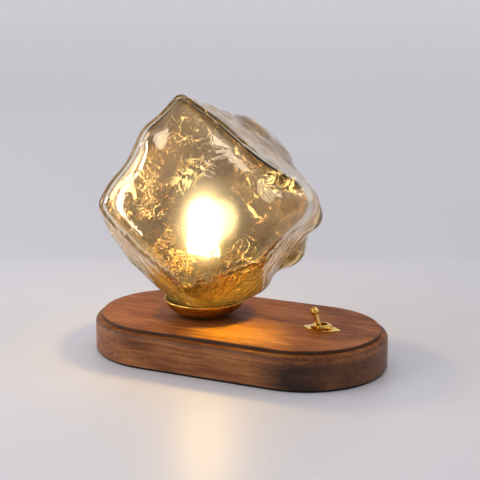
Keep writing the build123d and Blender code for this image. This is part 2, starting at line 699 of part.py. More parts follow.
def switch_body():
    """The moulded housing, with a stop for the rocker's idle wing and slots for the lugs."""
    half = (SWITCH_LENGTH / 2, SWITCH_WIDTH / 2)
    body = block((-half[0], -half[1], SWITCH_BOTTOM), (half[0], half[1], FRAME_BOTTOM))
    body -= block((SWITCH_WALL - half[0], SWITCH_WALL - half[1], SWITCH_FLOOR_TOP),
                  (half[0] - SWITCH_WALL, half[1] - SWITCH_WALL, FRAME_BOTTOM))
    reach = ROCKER_WING_LENGTH - STOP_LENGTH
    stop_top = ROCKER_PIVOT + wing_level(reach, ROCKER_WING_THICKNESS) - WORKING_GAP
    wide = ROCKER_WIDTH / 2
    body += block((-ROCKER_WING_LENGTH, -wide, SWITCH_FLOOR_TOP), (-reach, wide, stop_top))
    body -= lug(0, RUNNING_FIT, SWITCH_FLOOR_TOP)
    body -= lug(BLADE_REACH, RUNNING_FIT, SWITCH_FLOOR_TOP)
    return at_switch(body)


def lever_place(shape):
    """Leans a shape made upright about the pivot to the lever's place at rest, towards the glass."""
    return Pos(SWITCH_X, 0, PIVOT) * Rot(0, -LEVER_LEAN, 0) * shape


def toggle_lever():
    """The ball-ended lever, turned in one piece, with its pivot boss and hollow tail."""
    neck_end = LEVER_REACH - math.sqrt(BALL_RADIUS ** 2 - LEVER_NECK_RADIUS ** 2)
    lever = Sphere(LEVER_BOSS_RADIUS)
    lever += turned((0, 0), (LEVER_WAIST_RADIUS, 0), (LEVER_WAIST_RADIUS, LEVER_WAIST_REACH),
                    (LEVER_NECK_RADIUS, neck_end), (LEVER_NECK_RADIUS, LEVER_REACH), (0, LEVER_REACH))
    lever += Pos(0, 0, LEVER_REACH) * Sphere(BALL_RADIUS)
    lever += rod(TAIL_RADIUS, -TAIL_REACH, -LEVER_PIN_RADIUS)
    lever -= rod(PLUNGER_RADIUS + RUNNING_FIT, -TAIL_REACH, -LEVER_BOSS_RADIUS)
    lever -= along_y(rod(LEVER_PIN_RADIUS + RUNNING_FIT, -LEVER_BOSS_RADIUS, LEVER_BOSS_RADIUS))
    return lever_place(lever)


def lever_pin():
    pin = along_y(rod(LEVER_PIN_RADIUS, -LEVER_PIN_LENGTH / 2, LEVER_PIN_LENGTH / 2))
    return Pos(SWITCH_X, 0, PIVOT) * pin


def plunger():
    """The round-nosed pin that slides in the lever's tail and pushes the rocker over."""
    top = PLUNGER_LENGTH - PLUNGER_REACH
    return lever_place(Pos(0, 0, top) * Rot(180, 0, 0) * capsule(PLUNGER_RADIUS, 0, PLUNGER_LENGTH))


def plunger_spring():
    """The coil spring between the plunger and the end of its bore."""
    radius = PLUNGER_RADIUS - SPRING_WIRE_RADIUS
    start = PLUNGER_LENGTH - PLUNGER_REACH + 2 * SPRING_WIRE_RADIUS
    path = Helix(SPRING_PITCH, SPRING_PITCH * SPRING_TURNS, radius)
    coil = sweep(Plane(origin=path @ 0, z_dir=path % 0) * Circle(SPRING_WIRE_RADIUS), path=path)
    return lever_place(Pos(0, 0, start) * coil)


def contact_rocker():
    """The bent see-saw blade on its barrel, with a contact button under one wing."""
    top = ROCKER_BARREL_RADIUS * math.cos(math.radians(ROCKER_WING_RISE))
    half = ROCKER_WIDTH / 2
    under = top - ROCKER_WING_THICKNESS
    wing = Rot(0, -ROCKER_WING_RISE, 0) * block((0, -half, under), (ROCKER_WING_LENGTH, half, top))
    button = Pos(BUTTON_REACH, 0, 0) * rod(BUTTON_RADIUS, under - BUTTON_THICKNESS, under)
    rocker = along_y(rod(ROCKER_BARREL_RADIUS, -half, half)) + wing + mirror(wing, Plane.YZ)
    rocker += Rot(0, -ROCKER_WING_RISE, 0) * button
    rocker -= along_y(rod(ROCKER_PIN_RADIUS + RUNNING_FIT, -half, half))
    return Pos(SWITCH_X, 0, ROCKER_PIVOT) * Rot(0, ROCKER_TILT, 0) * rocker


def saddle_half_width():
    return ROCKER_WIDTH / 2 + WORKING_GAP + LUG_THICKNESS


def rocker_pin():
    half = saddle_half_width()
    return Pos(SWITCH_X, 0, ROCKER_PIVOT) * along_y(rod(ROCKER_PIN_RADIUS, -half, half))


def terminal_common():
    """The centre terminal: a saddle with two ears that carry the rocker's pin, and its lug."""
    half = SADDLE_LENGTH / 2
    wide = saddle_half_width()
    saddle = block((-half, -wide, SWITCH_FLOOR_TOP), (half, wide, SWITCH_FLOOR_TOP + SADDLE_THICKNESS))
    ear_top = ROCKER_PIVOT + ROCKER_BARREL_RADIUS
    ear = block((-half, wide - LUG_THICKNESS, SWITCH_FLOOR_TOP), (half, wide, ear_top))
    saddle += ear + mirror(ear, Plane.XZ)
    saddle -= Pos(0, 0, ROCKER_PIVOT) * along_y(rod(ROCKER_PIN_RADIUS + RUNNING_FIT, -wide, wide))
    return at_switch(saddle + lug(0, 0, SWITCH_FLOOR_TOP))


def terminal_switched():
    """The side terminal: a lug that rises to a pad under the rocker's contact button."""
    slope = math.radians(ROCKER_WING_RISE - ROCKER_TILT)
    button_bottom = wing_level(BUTTON_REACH, ROCKER_WING_THICKNESS + BUTTON_THICKNESS)
    pad_top = ROCKER_PIVOT + button_bottom - BUTTON_RADIUS * math.sin(slope) - WORKING_GAP
    post = lug(BLADE_REACH, 0, pad_top)
    inner = BUTTON_REACH * math.cos(slope) - BUTTON_RADIUS
    pad = block((inner, -LUG_WIDTH / 2, pad_top - LUG_THICKNESS), (BLADE_REACH, LUG_WIDTH / 2, pad_top))
    return at_switch(post + pad)


def lead_live():
    """From the terminal block to the switch's centre lug."""
    start = BLOCK_X + BLOCK_LENGTH / 2 - LEAD_INSERT
    y = POLE_SPACING / 2
    end = SWITCH_X - LUG_THICKNESS / 2
    corner = BLOCK_X + BLOCK_LENGTH / 2 + LEAD_TURN
    return wire([(start, y, POLE_LEVEL), (corner, y, POLE_LEVEL), (corner + LEAD_TURN, y / 2, LEAD_LEVEL),
                 (end - LEAD_TURN, 0, LEAD_LEVEL), (end, 0, LEAD_LEVEL)])


def holder_end(side):
    """The last points of a lead: up the tube, then out to its contact's foot in the holder."""
    x = CUP_X + side * LEAD_SPACING / 2
    foot = CUP_X + side * PIN_SPACING / 2
    return [(x, 0, TUBE_TOP), (foot, 0, TUBE_TOP + LEAD_RISE), (foot, 0, HOLDER_BOTTOM + WORKING_GAP)]


def lead_switched():
    """From the switch's side lug, along the front of the pocket and up the tube to the holder."""
    start = SWITCH_X + BLADE_REACH + LUG_THICKNESS / 2
    x = CUP_X - LEAD_SPACING / 2
    far = start + LEAD_TURN
    return wire([(start, 0, LEAD_LEVEL), (far, 0, LEAD_LEVEL), (far, -LEAD_AISLE, LEAD_LEVEL),
                 (x, -LEAD_AISLE, LEAD_LEVEL), (x, 0, LEAD_LEVEL)] + holder_end(-1))


def lead_neutral():
    """From the terminal block's other pole, up the tube to the holder."""
    start = BLOCK_X - BLOCK_LENGTH / 2 + LEAD_INSERT
    y = -POLE_SPACING / 2
    corner = BLOCK_X - BLOCK_LENGTH / 2 - LEAD_TURN
    x = CUP_X + LEAD_SPACING / 2
    return wire([(start, y, POLE_LEVEL), (corner, y, POLE_LEVEL), (corner - LEAD_TURN, 0, LEAD_LEVEL),
                 (x, 0, LEAD_LEVEL)] + holder_end(1))


PIECES = {
    "base_block": base_block,
    "bottom_cover": bottom_cover,
    "cover_screws": cover_screws,
    "base_pad": base_pad,
    "cord_inlet_bush": cord_inlet_bush,
    "cord_inlet_nut": cord_inlet_nut,
    "terminal_block": terminal_block,
    "terminal_inserts": terminal_inserts,
    "terminal_clamp_screws": terminal_clamp_screws,
    "terminal_block_screw": terminal_block_screw,
    "threaded_tube": threaded_tube,
    "tube_washer": tube_washer,
    "tube_nut": tube_nut,
    "shade_cup": shade_cup,
    "cup_nut": cup_nut,
    "shade_gasket": shade_gasket,
    "neck_collar": neck_collar,
    "glass_shade_left": glass_shade_left,
    "glass_shade_right": glass_shade_right,
    "glass_neck": glass_neck,
    "lampholder_cap": lampholder_cap,
    "lampholder_body": lampholder_body,
    "lampholder_contacts": lampholder_contacts,
    "bulb_base": bulb_base,
    "bulb_pins": bulb_pins,
    "bulb_envelope": bulb_envelope,
    "led_board": led_board,
    "switch_body": switch_body,
    "switch_bushing": switch_bushing,
    "switch_plate": switch_plate,
    "switch_nut": switch_nut,
    "switch_back_nut": switch_back_nut,
    "switch_lock_washer": switch_lock_washer,
    "toggle_lever": toggle_lever,
    "lever_pin": lever_pin,
    "plunger": plunger,
    "plunger_spring": plunger_spring,
    "contact_rocker": contact_rocker,
    "rocker_pin": rocker_pin,
    "terminal_common": terminal_common,
    "terminal_switched": terminal_switched,
    "lead_live": lead_live,
    "lead_switched": lead_switched,
    "lead_neutral": lead_neutral,
}

os.makedirs("parts", exist_ok=True)
for name, make in PIECES.items():
    export_step(make(), f"parts/{name}.step")
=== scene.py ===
# %% [markdown]
# # A glass accent lamp
# This lesson dresses the CAD model of a small lamp: a hollow block of half-mirrored glass stands tipped on
# one corner in a brass cup, on an oval wooden base with a ball toggle switch. The CAD gives every piece its
# size and place. Blender gives the glass its melted surface and every piece its finish.

# %% Load the CAD frame
import math

import bmesh
import bpy
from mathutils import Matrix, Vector, noise
from mathutils.bvhtree import BVHTree


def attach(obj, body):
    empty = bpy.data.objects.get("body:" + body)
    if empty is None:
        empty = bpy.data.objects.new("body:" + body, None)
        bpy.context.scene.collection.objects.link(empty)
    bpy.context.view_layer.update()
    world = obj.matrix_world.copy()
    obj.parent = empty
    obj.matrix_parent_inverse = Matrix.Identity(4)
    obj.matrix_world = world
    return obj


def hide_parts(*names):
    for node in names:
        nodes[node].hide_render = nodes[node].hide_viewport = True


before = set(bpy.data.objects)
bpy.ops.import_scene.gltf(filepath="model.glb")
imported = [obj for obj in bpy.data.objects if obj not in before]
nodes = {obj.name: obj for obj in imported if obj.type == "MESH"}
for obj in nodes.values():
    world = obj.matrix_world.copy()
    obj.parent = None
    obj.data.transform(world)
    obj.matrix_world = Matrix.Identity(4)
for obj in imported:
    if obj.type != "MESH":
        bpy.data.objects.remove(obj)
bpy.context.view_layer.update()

MM = 0.001

# %% [markdown]
# ## Camera
# The photograph looks down a little on the lamp, from the right of its front. A long lens from a metre away
# gives the same slight perspective. The camera is made first, because every later choice is judged through
# it.

# %% Camera
EYE = Vector((411.5, -880.1, 330.24)) * MM
AIM = Vector((0.906, 0.423, 93.4)) * MM
SENSOR_WIDTH = 36
LENS = 96.6

camera = bpy.data.objects.new("camera", bpy.data.cameras.new("camera"))
bpy.context.collection.objects.link(camera)
camera.location = EYE
camera.rotation_mode = "QUATERNION"
camera.rotation_quaternion = (AIM - EYE).to_track_quat("-Z", "Y")
camera.data.sensor_width = SENSOR_WIDTH
camera.data.lens = LENS
bpy.context.scene.camera = camera
bpy.context.scene.view_settings.view_transform = "Standard"
print("camera distance", round((AIM - EYE).length / MM), "mm")

# %% [markdown]
# ## Helpers for materials
# Colours are written as the eye sees them, in sRGB hex, and turned to linear light by one function. One other
# small function adds a shader node, sets it up and joins its inputs.

# %% Helpers for materials
def linear(code):
    """An sRGB hex colour as linear RGBA."""
    parts = [int(code[i:i + 2], 16) / 255 for i in (1, 3, 5)]
    return [c / 12.92 if c < 0.04045 else ((c + 0.055) / 1.055) ** 2.4 for c in parts] + [1.0]


def per_mm(size):
    """The texture scale, in cycles per metre, of a pattern that repeats about every size millimetres."""
    return 1 / (size * MM)


def add(tree, kind, inputs=None, stops=None, **settings):
    """Adds a shader node. Inputs are numbers, colours or other nodes' outputs; stops are a ramp's colours."""
    node = tree.nodes.new("ShaderNode" + kind)
    for name, value in settings.items():
        setattr(node, name, value)
    for spot, value in (inputs or {}).items():
        if isinstance(value, bpy.types.NodeSocket):
            tree.links.new(value, node.inputs[spot])
        else:
            node.inputs[spot].default_value = value
    for index, (place, colour) in enumerate(stops or []):
        ramp = node.color_ramp.elements
        stop = ramp[index] if index < 2 else ramp.new(place)
        stop.position = place
        stop.color = colour
    return node


def start(name):
    """A new material: its node tree, its Principled shader and its Object coordinates."""
    material = bpy.data.materials.new(name)
    material.use_nodes = True
    tree = material.node_tree
    shader = tree.nodes["Principled BSDF"]
    return material, tree, shader, add(tree, "TexCoord").outputs["Object"]


def dress(material, *names):
    """Gives CAD nodes a material."""
    for name in names:
        mesh = nodes[name].data
        mesh.materials.clear()
        mesh.materials.append(material)


print("white is", linear("#FFFFFF"), "and a 20 mm pattern has scale", per_mm(20))

# %% [markdown]
# ## The glass block
# The real block looks as if it was blown into a mould and left to slump: its facets sag, its edges are round
# and its wall is thicker along the edges than in the facets. The CAD solid has the right facets with an even
# wall. It could be sculpted by hand, but a script has to give the same shape each time. So a fine
# icosphere is drawn on to the solid like a skin, soft noise pushes it in and out, and the hollow inside is
# rounded more than the outside, which makes the thick edges that bend light into dark lines.

# %% Draw the skin on to the CAD block
GLASS_NODES = ("glass_shade_left", "glass_shade_right", "glass_neck")
GLASS_MIDDLE = Vector((-30, 0, 108)) * MM
SKIN_REACH = 300 * MM
FLOOR_REACH = 72 * MM

depsgraph = bpy.context.evaluated_depsgraph_get()
blocks = [BVHTree.FromObject(nodes[name], depsgraph) for name in GLASS_NODES]
skin = bmesh.new()
bmesh.ops.create_icosphere(skin, subdivisions=7, radius=1)
for vert in skin.verts:
    away = vert.co.normalized()
    # A ray stops at the middle, because one that comes up through the neck would go on to the hollow's roof.
    hits = [block.ray_cast(GLASS_MIDDLE + away * SKIN_REACH, -away, SKIN_REACH) for block in blocks]
    found = [hit for hit in hits if hit[0]]
    vert.co = min(found, key=lambda hit: hit[3])[0] if found else GLASS_MIDDLE + away * FLOOR_REACH
print("skin points", len(skin.verts))

# %% How far the glass slumped
# Noise all over, and waves that leave out the front facet: a size and a depth in millimetres, and a seed.
SLUMPS = [(52, 1.5, 3.0), (24, 0.5, 17.0)]
WAVES = (15, 0.9, 8.0)
# Where the melted block swells or sinks: a place, a width and a rise in millimetres.
LUMPS = [
    ((-44, -9, 210), 32, -4.5),
    ((-95, -57, 121), 16, -3.0),
    ((-12, 71, 166), 30, 4.5),
    ((54, 22, 110), 13, 7.0),
    ((61, 10, 124), 7, -3.5),
    ((34, 30, 78), 15, 7.5),
    ((27, 20, 64), 8, -2.0),
    ((-80, -41, 154), 15, -3.0),
    ((-66, -27, 180), 12, 3.0),
    ((60, -20, 133), 27, 6.0),
]
NECK_CUT = 43.2 * MM
THROAT_TOP = 62 * MM
# The way the front facet looks, and how far that way the glass turns from wrinkled to smooth.
FRONT = Vector((0.16, -0.907, 0.391))
FRONT_MIDDLE = GLASS_MIDDLE.dot(FRONT)
FRONT_SMOOTH = (FRONT_MIDDLE + 24 * MM, FRONT_MIDDLE + 42 * MM)


def share(value, low, high):
    """How far a value has come from low to high, from 0 to 1."""
    return min(1.0, max(0.0, (value - low) / (high - low)))


def wrinkled(place):
    """How wrinkled the glass is at a place, from 1 all round to 0 on the smooth front facet."""
    return 1 - share(place.dot(FRONT), *FRONT_SMOOTH)


def wave(place, size, depth, seed):
    """The height of soft noise at a place."""
    return depth * MM * noise.noise(place * per_mm(size) + Vector((seed, seed, seed)))


def slump(place):
    """How far the melted surface stands out of the flat facet at a place, fading out towards the neck."""
    rise = sum(wave(place, *sag) for sag in SLUMPS) + wrinkled(place) * wave(place, *WAVES)
    for centre, width, depth in LUMPS:
        apart = (place - Vector(centre) * MM).length / (width * MM)
        rise += depth * MM * math.exp(-apart * apart)
    fade = share(place.z, NECK_CUT, THROAT_TOP)
    return rise * fade * fade * (3 - 2 * fade)


print("slump at the top corner", round(slump(Vector((-44, -9, 210)) * MM) / MM, 1), "mm")

# %% Slump the skin
OUTER_ROUNDING = 4


def soften(verts, rounds):
    """Rounds off part of the skin, a little more with each round."""
    for step in range(rounds):
        bmesh.ops.smooth_vert(skin, verts=verts, factor=0.5,
                              use_axis_x=True, use_axis_y=True, use_axis_z=True)


def push(verts, rise):
    """Moves part of the skin along its normals, by a function of the place."""
    skin.normal_update()
    moves = [vert.normal * rise(vert.co) for vert in verts]
    for vert, move in zip(verts, moves):
        vert.co += move
    print("pushed", len(moves), "points, by up to", round(max(move.length for move in moves) / MM, 1), "mm")


soften(skin.verts, OUTER_ROUNDING)
push(skin.verts, slump)

# %% Cut the skin over the cup and draw the neck down
NECK_RADIUS = 19 * MM
NECK_TOP = 42.5 * MM
NECK_BOTTOM = 36 * MM

cut = bmesh.ops.bisect_plane(skin, geom=skin.verts[:] + skin.edges[:] + skin.faces[:], dist=1e-6,
                             plane_co=(0, 0, NECK_CUT), plane_no=(0, 0, 1), clear_inner=True)
rim = [part for part in cut["geom_cut"] if isinstance(part, bmesh.types.BMEdge)]
axis = Vector((GLASS_MIDDLE.x, GLASS_MIDDLE.y, 0))
for radius, level in ((None, NECK_TOP), (NECK_RADIUS, NECK_TOP), (NECK_RADIUS, NECK_BOTTOM)):
    grown = bmesh.ops.extrude_edge_only(skin, edges=rim)["geom"]
    rim = [part for part in grown if isinstance(part, bmesh.types.BMEdge) and part.is_boundary]
    for vert in {vert for edge in rim for vert in edge.verts}:
        out = Vector((vert.co.x, vert.co.y, 0)) - axis
        vert.co = axis + (out.normalized() * radius if radius else out)
        vert.co.z = level
bmesh.ops.recalc_face_normals(skin, faces=skin.faces)
print("outer faces", len(skin.faces), "volume", round(skin.calc_volume() * 1e6, 1), "cm3")

# %% Give the skin its wall
WALL = 4 * MM

outer_faces = set(skin.faces)
outer_verts = set(skin.verts)
bmesh.ops.solidify(skin, geom=skin.faces[:], thickness=WALL)
inner_faces = [face for face in skin.faces if face not in outer_faces]
inner_verts = [vert for vert in skin.verts if vert not in outer_verts]
print("faces after thickening", len(skin.faces), "of them inside", len(inner_faces))

# %% Round the hollow inside and wrinkle it
INNER_ROUNDING = 36
TOP_ROUNDING = 12
TOP_CORNER = 170 * MM
THROAT_ROUNDING = 10
THROAT = (48 * MM, 80 * MM)
RIPPLE = (13, 1.0, 40)

rounded = [vert for vert in inner_verts if vert.co.z > THROAT_TOP]
below_top = [vert for vert in rounded if vert.co.z < TOP_CORNER]
throat = [vert for vert in inner_verts if THROAT[0] < vert.co.z < THROAT[1]]
soften(rounded, TOP_ROUNDING)
soften(below_top, INNER_ROUNDING - TOP_ROUNDING)
soften(throat, THROAT_ROUNDING)
push(rounded, lambda place: wrinkled(place) * wave(place, *RIPPLE))

# %% Finish the shade
for face in skin.faces:
    face.smooth = True
for face in inner_faces:
    face.material_index = 1

shade_mesh = bpy.data.meshes.new("shade_glass")
skin.to_mesh(shade_mesh)
skin.free()
shade = bpy.data.objects.new("shade_glass", shade_mesh)
bpy.context.collection.objects.link(shade)
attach(shade, "base")
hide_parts(*GLASS_NODES)
print("shade triangles", sum(len(polygon.vertices) - 2 for polygon in shade_mesh.polygons))

# %% [markdown]
# ## The outside of the glass
# The outside is soda glass that the flame melted smooth. It could be one plain glass shader, but real melted
# glass is never quite even: faint cords make mirrored things wave, and near the foot, where the melt was
# gathered, the glass is deeper in colour and drawn into lines. Noise on the direction from the foot gives
# such lines, because all points on a line from the foot read the same value.

# %% The outside of the glass
GLASS_IOR = 1.42
FOOT = Vector((-30, 0, 38)) * MM
DEEP_AMBER = (60 * MM, 130 * MM)


def lines_to_foot(tree, place, scale, detail, distortion=0.0):
    """Noise drawn out into lines that run to the foot of the glass."""
    away = add(tree, "VectorMath", {0: place, 1: FOOT}, operation="SUBTRACT")
    line = add(tree, "VectorMath", {0: away.outputs["Vector"]}, operation="NORMALIZE")
    runs = add(tree, "TexNoise", {"Vector": line.outputs["Vector"], "Scale": scale, "Detail": detail,
                                  "Distortion": distortion})
    return runs.outputs["Fac"]


def amber_glass():
    # Fire polishing melts the skin smooth, so it mirrors cleanly, and faint cords make the mirror image wave.
    # Real soda glass has an index of about 1.5. A little less suits the look of this thick, uneven wall.
    material, tree, shader, place = start("soda_glass_fire_polished")
    shader.inputs["Specular Tint"].default_value = linear("#F6E0B8")
    shader.inputs["Transmission Weight"].default_value = 1
    shader.inputs["IOR"].default_value = GLASS_IOR
    shader.inputs["Roughness"].default_value = 0
    height = add(tree, "SeparateXYZ", {"Vector": place})
    deep = add(tree, "MapRange", {"Value": height.outputs["Z"], "From Min": DEEP_AMBER[0],
                                  "From Max": DEEP_AMBER[1], "To Min": 1.0, "To Max": 0.0},
               interpolation_type="SMOOTHSTEP")
    amber = add(tree, "MixRGB", {"Fac": deep.outputs["Result"], "Color1": linear("#FAF2E2"),
                                 "Color2": linear("#ECD38E")})
    tree.links.new(amber.outputs["Color"], shader.inputs["Base Color"])
    cords = add(tree, "TexNoise", {"Vector": place, "Scale": per_mm(22), "Detail": 1})
    waves = add(tree, "Bump", {"Height": cords.outputs["Fac"], "Strength": 0.2, "Distance": 0.4 * MM})
    runs = lines_to_foot(tree, place, scale=8, detail=2)
    drawn = add(tree, "Bump", {"Height": runs, "Strength": deep.outputs["Result"], "Distance": 5 * MM,
                               "Normal": waves.outputs["Normal"]})
    tree.links.new(drawn.outputs["Normal"], shader.inputs["Normal"])
    return material


shade_mesh.materials.append(amber_glass())
print("outside of the glass", shade_mesh.materials[0].name)

# %% [markdown]
# ## The film inside the glass
# A very thin film of metal lies on the inside of the block, so the hollow is a half mirror: it shows the bulb
# through a champagne tint and throws its image back many times. One Principled shader does both. Its
# transmission lets light through, its metallic share throws it back in gold, and its clear coat throws it
# back white. The colour, the creases and the light in the film are made by functions of their own.

# %% Colour of the film
LOW_FILM = (55 * MM, 88 * MM)
# A belt of painted shade just behind the front facet, high on the glass, for a dark line along its edges.
CORNER = FRONT_MIDDLE + 36 * MM
CORNER_WIDTH = 8 * MM
CORNER_RISE = (115 * MM, 140 * MM)


def film_colour(tree, place, height, facing):
    """The film's colour and metallic share: cloudy, streaked gold near the foot, painted shade along a
    corner.
    """
    cloud = add(tree, "TexNoise", {"Vector": place, "Scale": per_mm(38), "Detail": 3})
    tint = add(tree, "ValToRGB", {"Fac": cloud.outputs["Fac"]},
               stops=[(0.3, linear("#9A7C50")), (0.7, linear("#D4BE94"))])
    thin = add(tree, "MapRange", {"Value": cloud.outputs["Fac"], "From Min": 0.3, "From Max": 0.7,
                                  "To Min": 0.14, "To Max": 0.32})
    low = add(tree, "MapRange", {"Value": height, "From Min": LOW_FILM[0], "From Max": LOW_FILM[1],
                                 "To Min": 1.0, "To Max": 0.0}, interpolation_type="SMOOTHSTEP")
    thick = add(tree, "MapRange", {"Value": low.outputs["Result"], "To Min": thin.outputs["Result"],
                                   "To Max": 0.7})
    runs = lines_to_foot(tree, place, scale=6, detail=3, distortion=0.6)
    streaks = add(tree, "ValToRGB", {"Fac": runs},
                  stops=[(0.36, linear("#5A3A0E")), (0.5, linear("#CBB350")), (0.64, linear("#F8E8A8"))])
    golden = add(tree, "MixRGB", {"Fac": low.outputs["Result"], "Color1": tint.outputs["Color"],
                                  "Color2": streaks.outputs["Color"]})
    # Painted shade: a dark belt along the corner just behind the front facet, high on the glass.
    before = add(tree, "MapRange", {"Value": facing, "From Min": CORNER - CORNER_WIDTH, "From Max": CORNER},
                 interpolation_type="SMOOTHSTEP")
    belt = add(tree, "MapRange", {"Value": facing, "From Min": CORNER, "From Max": CORNER + CORNER_WIDTH,
                                  "To Min": before.outputs["Result"], "To Max": 0.0},
               interpolation_type="SMOOTHSTEP")
    painted_edge_shade = add(tree, "MapRange", {"Value": height, "From Min": CORNER_RISE[0],
                                      "From Max": CORNER_RISE[1], "To Max": belt.outputs["Result"]})
    edge_shaded = add(tree, "MixRGB", {"Fac": painted_edge_shade.outputs["Result"], "Color1": golden.outputs["Color"],
                                    "Color2": linear("#6A4E2A")})
    return edge_shaded.outputs["Color"], thick.outputs["Result"]

# %% Creases of the film
def film_creases(tree, place, facing):
    """The noise of the film's creases and the normal that they bend, in patches that spare the front."""
    wall = add(tree, "MapRange", {"Value": facing, "From Min": FRONT_SMOOTH[0], "From Max": FRONT_SMOOTH[1],
                                  "To Min": 1.0, "To Max": 0.02})
    zone = add(tree, "TexNoise", {"Vector": place, "Scale": per_mm(24), "Detail": 1})
    patches = add(tree, "MapRange", {"Value": zone.outputs["Fac"], "From Min": 0.36, "From Max": 0.48,
                                     "To Max": wall.outputs["Result"]}, interpolation_type="SMOOTHSTEP")
    creases = add(tree, "TexNoise", {"Vector": place, "Scale": per_mm(17), "Detail": 2, "Distortion": 4.0})
    bump = add(tree, "Bump", {"Height": creases.outputs["Fac"], "Strength": patches.outputs["Result"],
                              "Distance": 5 * MM})
    return creases.outputs["Fac"], bump.outputs["Normal"]

# %% [markdown]
# ## The bulb's light in the film
# The film in front of the bulb is frosted with its light, gold light lies all round, and folds of the film
# catch the bulb as golden threads and glints. Mirrors as fine as these folds would need many more light paths
# than a picture has, so the film is given this light as a glow of its own, at places on the glass. The
# frosted part is also rough, so the bulb behind it blurs as it should.

# %% Places of the bulb's light
BULB_MIDDLE = Vector((-30, 0, 95)) * MM
# Painted glow of the bulb's light on the film in front of it: a place, how far it is squashed in height, the
# millimetres at which it is full and gone, and its strength.
GLOWS = [
    (Vector((-6, -46, 118)), 0.8, 5, 38, 0.58),
    (Vector((-8, -48, 115)), 0.5, 8, 24, 0.7),
    (Vector((8, -44, 119)), 0.7, 4, 16, 1.2),
    (Vector((2, -54, 98)), 0.8, 2, 15, 0.5),
]
# Painted glints of the bulb where folds of the film stand up: a place, its reach in millimetres and its
# strength.
GLINTS = [
    (Vector((-27, -39, 143)), 13, 2.2),
    (Vector((-20, -33, 154)), 12, 1.8),
    (Vector((41, -26, 149)), 11, 2.4),
    (Vector((54, -23, 143)), 9, 2.4),
]
# Painted threads of the bulb's light in fine creases: a place and the millimetres at which they are full and
# gone.
WEBS = [
    (Vector((-28, -21, 186)), 8, 26),
    (Vector((-48, -48, 130)), 8, 24),
    (Vector((-22, -34, 155)), 3, 18),
    (Vector((32, -28, 144)), 5, 17),
    (Vector((54, -24, 147)), 6, 17),
    (Vector((26, -49, 97)), 5, 17),
]
# Where the painted gold light round the hollow fades in, from behind the middle to the front.
SIDE_BELT = (FRONT_MIDDLE - 20 * MM, FRONT_MIDDLE + 15 * MM)
THREAD_LIGHT = 2.2
print("glows", len(GLOWS), "glints", len(GLINTS), "webs", len(WEBS))

# %% Functions for the light in the film
def spot(tree, place, centre, full, gone, strength, squash=1.0, fade="SMOOTHSTEP"):
    """A soft spot round a place: at full strength up to one distance and gone at another."""
    apart = add(tree, "VectorMath", {0: place, 1: centre * MM}, operation="SUBTRACT")
    oval = add(tree, "VectorMath", {0: apart.outputs["Vector"], 1: (1, 1, squash)}, operation="MULTIPLY")
    far = add(tree, "VectorMath", {0: oval.outputs["Vector"]}, operation="LENGTH")
    near = add(tree, "MapRange", {"Value": far.outputs["Value"], "From Min": full * MM, "From Max": gone * MM,
                                  "To Min": strength, "To Max": 0.0}, interpolation_type=fade)
    return near.outputs["Result"]


def total(tree, values):
    """The sum of some outputs."""
    result = values[0]
    for value in values[1:]:
        result = add(tree, "Math", {0: value, 1: result}, operation="ADD").outputs["Value"]
    return result


def film_painted_glow(tree, place, in_front):
    """The painted glow of the bulb's light on the frosted film in front of the bulb."""
    painted_glows = [spot(tree, place, centre, full, gone, strength, squash, "SMOOTHERSTEP")
             for centre, squash, full, gone, strength in GLOWS]
    halo = add(tree, "Math", {0: total(tree, painted_glows), 1: in_front}, operation="MULTIPLY")
    return halo.outputs["Value"]


def film_painted_gold_light(tree, place, facing, in_front):
    """Painted gold light all round the hollow, weaker far from the bulb and gone on the front facet."""
    reach = add(tree, "VectorMath", {0: place, 1: BULB_MIDDLE}, operation="DISTANCE")
    scatter = add(tree, "MapRange", {"Value": reach.outputs["Value"], "From Min": 40 * MM,
                                     "From Max": 110 * MM, "To Min": 0.32, "To Max": 0.12})
    belt = add(tree, "MapRange", {"Value": facing, "From Min": SIDE_BELT[0], "From Max": SIDE_BELT[1],
                                  "To Min": 0.15})
    ringed = add(tree, "Math", {0: scatter.outputs["Result"], 1: belt.outputs["Result"]},
                 operation="MULTIPLY")
    aside = add(tree, "MapRange", {"Value": in_front, "To Min": ringed.outputs["Value"], "To Max": 0.0})
    return aside.outputs["Result"]


def film_flashes(tree, place, creases):
    """Painted threads of light along the crests of a noise, and painted glints where the creases stand up."""
    net = add(tree, "TexNoise", {"Vector": place, "Scale": per_mm(26), "Detail": 3, "Distortion": 3.5})
    off = add(tree, "Math", {0: net.outputs["Fac"], 1: 0.5}, operation="SUBTRACT")
    crest = add(tree, "Math", {0: off.outputs["Value"]}, operation="ABSOLUTE")
    webbed = total(tree, [spot(tree, place, centre, full, gone, 1.0) for centre, full, gone in WEBS])
    broken = add(tree, "TexNoise", {"Vector": place, "Scale": per_mm(9), "Detail": 1})
    lengths = add(tree, "MapRange", {"Value": broken.outputs["Fac"], "From Min": 0.42, "From Max": 0.62,
                                     "To Max": webbed})
    strong = add(tree, "Math", {0: lengths.outputs["Result"], 1: THREAD_LIGHT}, operation="MULTIPLY")
    thread = add(tree, "MapRange", {"Value": crest.outputs["Value"], "From Max": 0.022,
                                    "To Min": strong.outputs["Value"], "To Max": 0.0})
    flashes = [thread.outputs["Result"]]
    for centre, gone, strength in GLINTS:
        fold = add(tree, "MapRange", {"Value": creases, "From Min": 0.48, "From Max": 0.58,
                                      "To Max": spot(tree, place, centre, 0, gone, strength)})
        flashes.append(fold.outputs["Result"])
    return total(tree, flashes)

